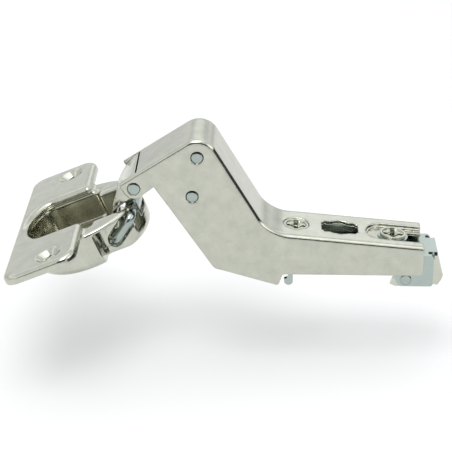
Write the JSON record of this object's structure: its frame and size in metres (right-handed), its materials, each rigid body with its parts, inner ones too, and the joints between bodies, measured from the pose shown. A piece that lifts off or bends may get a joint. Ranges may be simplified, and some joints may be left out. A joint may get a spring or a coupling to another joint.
{
  "type": "concealed cabinet hinge",
  "caption": "Wide-angle concealed cabinet hinge: drawn cup with screw wings, two links, cranked channel arm and clip-on carriage with release lever and adjusting screws.",
  "frame": {"origin": "on the mid-plane, level with the foot's seating edges, under the middle web hole", "axes": "X along the foot towards the release lever, Y along the pivots, Z away from the cabinet side"},
  "size_m": [0.1186, 0.0646, 0.0445],
  "materials": {
    "nickel": "satin nickel plate on steel sheet",
    "zinc": "bright zinc plate on steel",
    "spring_steel": "oiled spring wire",
    "nylon": "moulded nylon"
  },
  "bodies": {
    "carriage": {"carriage": "zinc", "lever_rivet": "zinc", "lever_spring": "spring_steel"},
    "arm": {"arm": "nickel", "nose_rivet": "zinc", "link_rivet": "zinc", "spring_rivet": "zinc", "closing_spring": "spring_steel", "spring_bush": "nylon", "depth_ring": "zinc"},
    "depth_screw": {"depth_screw": "nickel"},
    "side_screw": {"side_screw": "nickel"},
    "clip_lever": {"clip_lever": "nickel"},
    "outer_link": {"outer_link": "nickel"},
    "cup": {"cup": "nickel", "axle_staple": "zinc"},
    "inner_link": {"inner_link": "zinc"}
  },
  "joints": [
    {"name": "depth_slide", "type": "slide", "parent": "carriage", "child": "arm", "axis": [1, 0, 0], "range_m": [-0.0014, 0.0014]},
    {"name": "depth_screw_turn", "type": "hinge", "parent": "arm", "child": "depth_screw", "pos_m": [0.0148, 0, 0.00932], "axis": [0.0889, 0, 0.996], "range_deg": [-45, 45]},
    {"name": "side_screw_turn", "type": "hinge", "parent": "arm", "child": "side_screw", "pos_m": [-0.0121, 0, 0.01172], "axis": [0.0889, 0, 0.996], "range_deg": [-360, 360]},
    {"name": "release_lever", "type": "hinge", "parent": "carriage", "child": "clip_lever", "pos_m": [0.0183, 0, -0.0018], "axis": [0, -1, 0], "range_deg": [0, 8], "stiffness_Nm_per_rad": 0.3},
    {"name": "outer_link_swing", "type": "hinge", "parent": "arm", "child": "outer_link", "pos_m": [-0.05634, 0, 0.02538], "axis": [0, 1, 0], "range_deg": [-14.4, 0]},
    {"name": "cup_fold", "type": "hinge", "parent": "outer_link", "child": "cup", "pos_m": [-0.06155, 0, 0.01068], "axis": [0, 1, 0], "range_deg": [0, 94.4]},
    {"name": "inner_link_swing", "type": "hinge", "parent": "cup", "child": "inner_link", "pos_m": [-0.0572, 0, 0.01761], "axis": [0, 1, 0], "range_deg": [-117.7, 0]}
  ],
  "couplings": [
    {"joint": "outer_link_swing", "follows": "cup_fold", "ratio": -0.1525},
    {"joint": "inner_link_swing", "follows": "cup_fold", "ratio": -1.246},
    {"joint": "depth_screw_turn", "follows": "depth_slide", "rad_per_m": 560}
  ]
}
